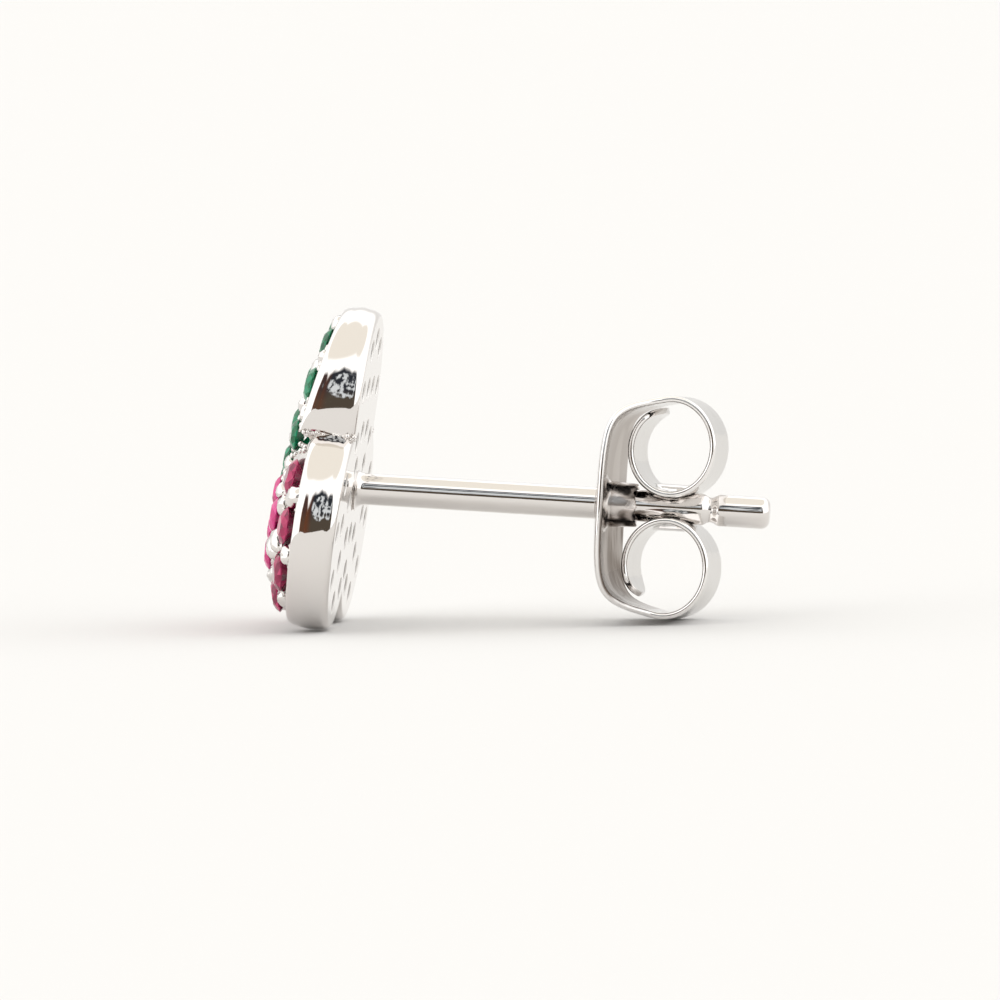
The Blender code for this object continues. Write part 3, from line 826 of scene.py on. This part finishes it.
def scroll_midline(scroll_end):
    """(back, out) along half of the strip, from the hole, up the plate and round the scroll.

    The plate is a cubic curve from the hole to the scroll's top. The scroll is an ellipse whose
    size shrinks by SCROLL_CURL_IN * past^CURL_POWER after it has passed the post.
    """
    centre = np.array([SCROLL_STANDOFF + SCROLL_HALF_DEPTH, SCROLL_NEARNESS + SCROLL_HALF_HEIGHT])
    size = np.array([SCROLL_HALF_DEPTH, SCROLL_HALF_HEIGHT])
    start = centre + size * (math.cos(SCROLL_START), math.sin(SCROLL_START))
    heading = size * (math.sin(SCROLL_START), -math.cos(SCROLL_START))
    heading /= np.linalg.norm(heading)
    corner = centre[1] + size[1] - PLATE_CORNER_DROP
    handles = np.array([(0, 0), (0, corner), start - heading * PLATE_HANDLE * start[0], start])
    t = np.linspace(0, 1, PLATE_STEPS)[:, None]
    weights = np.hstack([(1 - t) ** 3, 3 * t * (1 - t) ** 2, 3 * t**2 * (1 - t), t**3])
    angle = np.linspace(SCROLL_START, scroll_end, SCROLL_STEPS)[1:, None]
    past = np.clip((SCROLL_NEAREST - angle) / (SCROLL_NEAREST - SCROLL_END), 0, 1)
    shrunk = (1 - SCROLL_CURL_IN * past**CURL_POWER) * size
    scroll = centre + shrunk * np.hstack([np.cos(angle), np.sin(angle)])
    return np.vstack([weights @ handles, scroll])


def strip_section():
    """(share of the half width, extra width, height above the midline) round the strip's section:
    two flat faces joined by half rounds at its edges."""
    flat = np.sin(np.linspace(-math.pi / 2, math.pi / 2, STRIP_STEPS))
    half = np.linspace(math.pi / 2, -math.pi / 2, EDGE_STEPS)[1:-1]
    thick = SHEET_THICKNESS / 2
    share = np.concatenate([flat, 1 + 0 * half, -flat, -1 + 0 * half])
    extra = np.concatenate([0 * flat, np.cos(half), 0 * flat, -np.cos(half)])
    height = np.concatenate([1 + 0 * flat, np.sin(half), -1 + 0 * flat, -np.sin(half)])
    return share, thick * extra, thick * height


def strip_points():
    """(across, back, out) of the sheet's skin, as rows along the strip and columns round its section,
    and how much painted shade lies there: on the plate's inside face, strongest in its middle and less
    towards its top.

    The plate's half width follows a half sine from the arms' and back to them, its dish is
    across^2 / (2 R) times that sine's root, a channel keeps the scrolls clear of the post, and each
    free end is a round tongue. The skin lies half a thickness to each side of that surface, along
    its normal.
    """
    lower, upper = scroll_midline(LOWER_SCROLL_END), scroll_midline(SCROLL_END)
    midline = np.vstack([lower[:0:-1] * (1, -1), upper])
    back, out = midline[:, :1], midline[:, 1:]
    plate = slice(SCROLL_STEPS - 1, -(SCROLL_STEPS - 1))
    on_plate = np.zeros((len(midline), 1))
    on_plate[plate, 0] = np.sin(np.linspace(0, math.pi, 2 * PLATE_STEPS - 1))
    in_scroll = np.ones((len(midline), 1))
    in_scroll[plate] = 0
    steps = np.linalg.norm(np.diff(midline, axis=0), axis=1)
    from_start = np.concatenate([[0], np.cumsum(steps)])
    from_end = np.minimum(from_start, from_start[-1] - from_start)[:, None]
    tongue = np.sqrt(1 - np.clip(1 - from_end / TONGUE_LENGTH, 0, TONGUE_TIP) ** 2)
    half_width = (ARM_HALF_WIDTH + (PLATE_HALF_WIDTH - ARM_HALF_WIDTH) * on_plate) * tongue
    share, extra, height = strip_section()
    clear = POST_RADIUS + SLIDE_CLEARANCE + SHEET_THICKNESS / 2

    def surface(across):
        behind = back + on_plate**0.5 * across**2 / (2 * PLATE_DISH_RADIUS)
        off_post = across + behind * math.tan(CLUTCH_TURN)
        channel = np.sqrt(np.maximum(clear**2 - off_post**2, 0)) * in_scroll
        outward = np.sign(out) * np.maximum(np.abs(out), channel) + 0 * across
        return np.stack([across, behind, outward], axis=2)

    across = (half_width - SHEET_THICKNESS / 2) * share
    middle = surface(across)
    along = np.gradient(middle, axis=0)
    sideways = (surface(across + SKIN_STEP) - surface(across - SKIN_STEP)) / (2 * SKIN_STEP)
    normal = np.cross(sideways, along)
    normal /= np.linalg.norm(normal, axis=2, keepdims=True)
    # The painted shade: on the plate's inner face, strongest in its middle and lighter towards its top.
    upper_share = np.clip(out / ARM_HALF_WIDTH + 0.5, 0, 1)
    painted_shade = np.clip(SHADE_FROM_ARMS * on_plate, 0, 1) * (height < 0) * (1 - (1 - UPPER_SHADE) * upper_share)
    return middle + extra[:, None] * sideways + height[:, None] * normal, painted_shade


def on_clutch(points):
    """World points of the clutch's own frame: the post's, moved to the clutch's place on it, turned
    by CLUTCH_TURN as far as the hole's play lets it, and rolled about the post by CLUTCH_ROLL."""
    across = points[..., 0] * math.cos(CLUTCH_TURN) + points[..., 1] * math.sin(CLUTCH_TURN)
    back = points[..., 1] * math.cos(CLUTCH_TURN) - points[..., 0] * math.sin(CLUTCH_TURN)
    rolled = across * math.cos(CLUTCH_ROLL) - points[..., 2] * math.sin(CLUTCH_ROLL)
    out = across * math.sin(CLUTCH_ROLL) + points[..., 2] * math.cos(CLUTCH_ROLL)
    return on_post(rolled, POST_LENGTH - CLUTCH_FROM_TIP + back, out)


def ring_solid(back, radius):
    """(across, back, out) rings round the clutch's hole, one for each place back and its radius."""
    turn = np.linspace(0, 2 * np.pi, BORE_SIDES, endpoint=False)
    back, radius = np.array(back)[:, None], np.array(radius)[:, None]
    return np.stack([radius * np.sin(turn), back + 0 * turn, radius * np.cos(turn)], axis=-1)


BORE_SIDES = 62
COLLAR_FRONT = 0.13 * MM
COLLAR_BACK = 0.88 * MM
COLLAR_WALL = 0.10 * MM
COLLAR_ROOT = 0.20 * MM
COLLAR_LIP = 0.07 * MM
COLLAR_MIDDLE = 0.3 * MM
COLLAR_EDGE = 0.03 * MM
COLLAR_EDGE_IN = 0.02 * MM
PUNCH_SPAN = (-0.4 * MM, 0.6 * MM)
BORE_LENGTH = 0.90 * MM
BORE_RADIUS = POST_RADIUS + SLIDE_CLEARANCE + BORE_LENGTH * math.sin(CLUTCH_TURN)


def make_clutch_strip(material, shaded_copy):
    """The strip's closed skin, with painted shade on the inside of its plate, where a copy of its material
    takes off more glare at the edges, and with the hole for the post cut through it."""
    points, painted_shade = strip_points()
    rows, columns = points.shape[:2]
    faces = grid_faces(rows, columns).tolist()
    faces += [list(range(columns)), list(range((rows - 1) * columns, rows * columns))]
    strip = new_piece("clutch_strip", on_clutch(points), faces, material, crease=50)
    attribute = strip.data.attributes.new("painted_shade", "FLOAT", "POINT")
    attribute.data.foreach_set("value", painted_shade.astype(np.float32).ravel())
    strip.data.materials.append(shaded_copy)
    inside = np.zeros(len(faces), np.int32)
    inside[: (rows - 1) * columns] = (painted_shade[:-1] > 0.5 * UPPER_SHADE).ravel()
    strip.data.polygons.foreach_set("material_index", inside)
    ends = ring_solid(PUNCH_SPAN, [BORE_RADIUS + COLLAR_WALL / 2] * 2)
    lids = [list(range(BORE_SIDES)), list(range(BORE_SIDES, 2 * BORE_SIDES))]
    punch = new_piece("punch", on_clutch(ends), grid_faces(2, BORE_SIDES).tolist() + lids, material)
    hole = strip.modifiers.new("hole", "BOOLEAN")
    hole.operation = "DIFFERENCE"
    hole.solver = "EXACT"
    hole.object = punch
    graph = bpy.context.evaluated_depsgraph_get()
    strip.data = bpy.data.meshes.new_from_object(strip.evaluated_get(graph))
    strip.modifiers.clear()
    bpy.data.objects.remove(punch)
    return strip


def make_collar(material):
    """The collar that the punch leaves round the hole: a rounded lip in front, a flared root where
    it leaves the plate, and a thin edge behind that is torn in waves of 5 and 11 turns round it."""
    lip = np.linspace(0, math.pi, QUARTER_STEPS)
    root = np.linspace(0, math.pi / 2, QUARTER_STEPS)
    thick, outer = SHEET_THICKNESS / 2, BORE_RADIUS + COLLAR_WALL
    back = [[COLLAR_MIDDLE, -thick], COLLAR_LIP * (1 - np.sin(lip)) - COLLAR_FRONT, [thick / 2]]
    radius = [[0, 0], COLLAR_LIP * (1 - np.cos(lip)), [2 * COLLAR_LIP]]
    radius = [BORE_RADIUS + np.array(part) for part in radius]
    back += [thick + COLLAR_ROOT * (1 - np.cos(root))]
    radius += [outer + COLLAR_ROOT * (1 - np.sin(root))]
    back += [[COLLAR_BACK - COLLAR_EDGE, COLLAR_BACK, COLLAR_BACK - COLLAR_EDGE_IN]]
    radius += [[outer - COLLAR_EDGE, outer - 2 * COLLAR_EDGE, BORE_RADIUS]]
    rings = ring_solid(np.concatenate(back), np.concatenate(radius))
    turn = np.linspace(0, 2 * np.pi, BORE_SIDES, endpoint=False)
    torn = COLLAR_EDGE * (np.sin(5 * turn) + np.sin(11 * turn + 1) * 0.6)
    rings[-3:, :, 1] += torn
    faces = grid_faces(len(rings), BORE_SIDES, closed_rows=True).tolist()
    return new_piece("clutch_collar", on_clutch(rings), faces, material, crease=60)


def paint_shade(material):
    """Paints shade on the sheet: its clean colour goes over to a near black one by the piece's
    painted-shade attribute, in clouds drawn out along the plate."""
    nodes = material.node_tree.nodes
    stretch = add(nodes, "ShaderNodeMapping", {"Scale": SHADE_CLOUD_STRETCH})
    painted_noise = add(nodes, "ShaderNodeTexNoise", {"Scale": SHADE_CLOUD_SIZE, "Detail": 3.0})
    edges = {"From Min": SHADE_CLOUD_EDGES[0], "From Max": SHADE_CLOUD_EDGES[1], "To Min": LEAST_SHADE}
    broken = add(nodes, "ShaderNodeMapRange", edges, interpolation_type="SMOOTHSTEP")
    share = add(nodes, "ShaderNodeMath", operation="MULTIPLY")
    both = {6: (*SHEET_SILVER, 1), 7: (*PAINTED_SHADE_COLOUR, 1)}
    colour = add(nodes, "ShaderNodeMix", both, data_type="RGBA")
    painted_shade = add(nodes, "ShaderNodeAttribute", attribute_name="painted_shade")
    join(
        material.node_tree.links,
        (nodes.new("ShaderNodeTexCoord").outputs["Object"], stretch.inputs["Vector"]),
        (stretch.outputs["Vector"], painted_noise.inputs["Vector"]),
        (painted_noise.outputs["Fac"], broken.inputs["Value"]),
        (broken.outputs["Result"], share.inputs[0]),
        (painted_shade.outputs["Fac"], share.inputs[1]),
        (share.outputs[0], colour.inputs["Factor"]),
        (colour.outputs[2], nodes["Principled BSDF"].inputs["Base Color"]),
    )


def edge_tinted(material, tint):
    """Takes the glare off a metal where it is seen almost edge on."""
    material.node_tree.nodes["Principled BSDF"].inputs["Specular Tint"].default_value = (*tint, 1)


sheet_silver = silver("rolled silver sheet", SHEET_SILVER, **ROLLED)
paint_shade(sheet_silver)
edge_tinted(sheet_silver, SHEET_EDGE)
# A copy of the sheet with less glare at its edges, for the painted shade inside the plate.
shaded_sheet = sheet_silver.copy()
shaded_sheet.name = "silver sheet with painted shade"
edge_tinted(shaded_sheet, PAINTED_SHADE_EDGE)
strip = make_clutch_strip(sheet_silver, shaded_sheet)
collar = make_collar(silver("punched silver", PUNCHED_SILVER, **PUNCHED))
for piece in (strip, collar):
    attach(piece, "clutch")
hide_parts("butterfly_clutch")

# The table: plain white card, wide enough to run out of the picture on every side.
FLOOR_HALF = 6.0
CARD_SURFACE = {"Base Color": (0.753, 0.747, 0.740, 1), "Roughness": 1.0, "Specular IOR Level": 0.0}


def make_floor():
    """A flat white sheet at the height that the earring stands on."""
    corners = np.array([[-1, -1, 0], [1, -1, 0], [1, 1, 0], [-1, 1, 0]]) * FLOOR_HALF
    mesh = bpy.data.meshes.new("floor")
    mesh.from_pydata(corners.tolist(), [], [(0, 1, 2, 3)])
    mesh.materials.append(new_material("white card", CARD_SURFACE)[0])
    floor = bpy.data.objects.new("floor", mesh)
    bpy.context.scene.collection.objects.link(floor)


make_floor()

# The studio: a white room of soft light with a cream ceiling. The dark opening that the camera looks
# in through, with a bright window beyond it, gives the polished metal its dark bands. Behind the
# object the room is as plain as the table.
PLAIN_BACKDROP = (0.991, 0.982, 0.947)
ROOM_WHITE = (1.56, 1.56, 1.55)
BACK_WALL = (0.92, 0.91, 0.89)
BACK_WALL_TOP = (18.0, 34.0)
BACK_WALL_FROM = (95.0, 150.0)
CEILING_CREAM = (1.12, 1.07, 0.97)
CEILING_EDGE = (57.0, 63.0)
OPENING = (2.0, 30.0, 2.0, 45.0)
WINDOW = (5.0, 20.0, 26.0, 14.0)
BOX_POWER = 2.6
BOX_EDGE = (0.8, 1.2)
WAVER = 16.0
WAVER_SIZE = 4.0
GLOOM_BELOW = (0.10, 0.08, 0.06)
GLOOM_ABOVE = (0.03, 0.035, 0.045)
GLOOM_EDGE = (8.0, 26.0)
BROWN_GLOOM = (0.16, 0.06, 0.03)
BROWN_EDGE = (-26.0, -10.0)
WINDOW_LIGHT = (0.85, 0.90, 0.93)
GLINT_SIZE = 9.0
GLINT_EDGES = (0.42, 0.56)


def studio_world():
    """The room's light as a function of direction: elevation picks wall or cream ceiling, azimuth the
    greyer back wall, and rounded boxes of both, with a wavering edge, are the opening and its window."""
    world = bpy.data.worlds.new("studio")
    bpy.context.scene.world = world
    world.use_nodes = True
    nodes, links = world.node_tree.nodes, world.node_tree.links
    nodes.clear()
    direction = nodes.new("ShaderNodeTexCoord").outputs["Generated"]

    def feed(sockets, given):
        for socket, one in zip(sockets, given):
            if isinstance(one, bpy.types.NodeSocket):
                links.new(one, socket)
            else:
                socket.default_value = one

    def value(kind, *given):
        node = add(nodes, "ShaderNodeMath", operation=kind)
        feed(node.inputs, given)
        return node.outputs[0]

    def smooth(given, low, high):
        edges = {"From Min": low, "From Max": high}
        node = add(nodes, "ShaderNodeMapRange", edges, interpolation_type="SMOOTHSTEP")
        links.new(given, node.inputs["Value"])
        return node.outputs["Result"]

    def blended(share, *colours):
        node = add(nodes, "ShaderNodeMix", data_type="RGBA")
        colours = [(*colour, 1) if isinstance(colour, tuple) else colour for colour in colours]
        feed((node.inputs["Factor"], *node.inputs[6:8]), (share, *colours))
        return node.outputs[2]

    def noise(size, detail):
        node = add(nodes, "ShaderNodeTexNoise", {"Scale": size, "Detail": detail})
        links.new(direction, node.inputs["Vector"])
        return node.outputs["Fac"]

    parts = nodes.new("ShaderNodeSeparateXYZ")
    links.new(direction, parts.inputs[0])
    degree = 180 / math.pi
    elevation = value("MULTIPLY", value("ARCSINE", parts.outputs["Z"]), degree)
    azimuth = value("MULTIPLY", value("ARCTAN2", parts.outputs["Y"], parts.outputs["X"]), degree)
    waver = value("MULTIPLY_ADD", noise(WAVER_SIZE, 2.0), WAVER, -WAVER / 2)
    height = value("ADD", elevation, waver)

    def outside_box(box):
        turn, half_width, middle, half_height = box
        wide = value("ABSOLUTE", value("DIVIDE", value("SUBTRACT", azimuth, turn), half_width))
        tall = value("ABSOLUTE", value("DIVIDE", value("SUBTRACT", height, middle), half_height))
        both = value("ADD", value("POWER", wide, BOX_POWER), value("POWER", tall, BOX_POWER))
        return smooth(both, *BOX_EDGE)

    low_wall = value("SUBTRACT", 1.0, smooth(elevation, *BACK_WALL_TOP))
    at_back = value("MULTIPLY", smooth(value("ABSOLUTE", azimuth), *BACK_WALL_FROM), low_wall)
    walls = blended(at_back, ROOM_WHITE, BACK_WALL)
    walls = blended(smooth(elevation, *CEILING_EDGE), walls, CEILING_CREAM)
    gloom = blended(smooth(height, *GLOOM_EDGE), GLOOM_BELOW, GLOOM_ABOVE)
    gloom = blended(smooth(azimuth, *BROWN_EDGE), BROWN_GLOOM, gloom)
    in_window = value("SUBTRACT", 1.0, outside_box(WINDOW))
    glints = value("MULTIPLY", smooth(noise(GLINT_SIZE, 5.0), *GLINT_EDGES), in_window)
    gloom = blended(glints, gloom, WINDOW_LIGHT)
    room = blended(outside_box(OPENING), gloom, walls)
    seen = nodes.new("ShaderNodeLightPath").outputs["Is Camera Ray"]
    light = nodes.new("ShaderNodeBackground")
    out = nodes.new("ShaderNodeOutputWorld")
    links.new(blended(seen, room, PLAIN_BACKDROP), light.inputs["Color"])
    links.new(light.outputs[0], out.inputs["Surface"])


studio_world()
bpy.context.scene.view_settings.view_transform = "Standard"
bpy.context.scene.view_settings.look = "None"
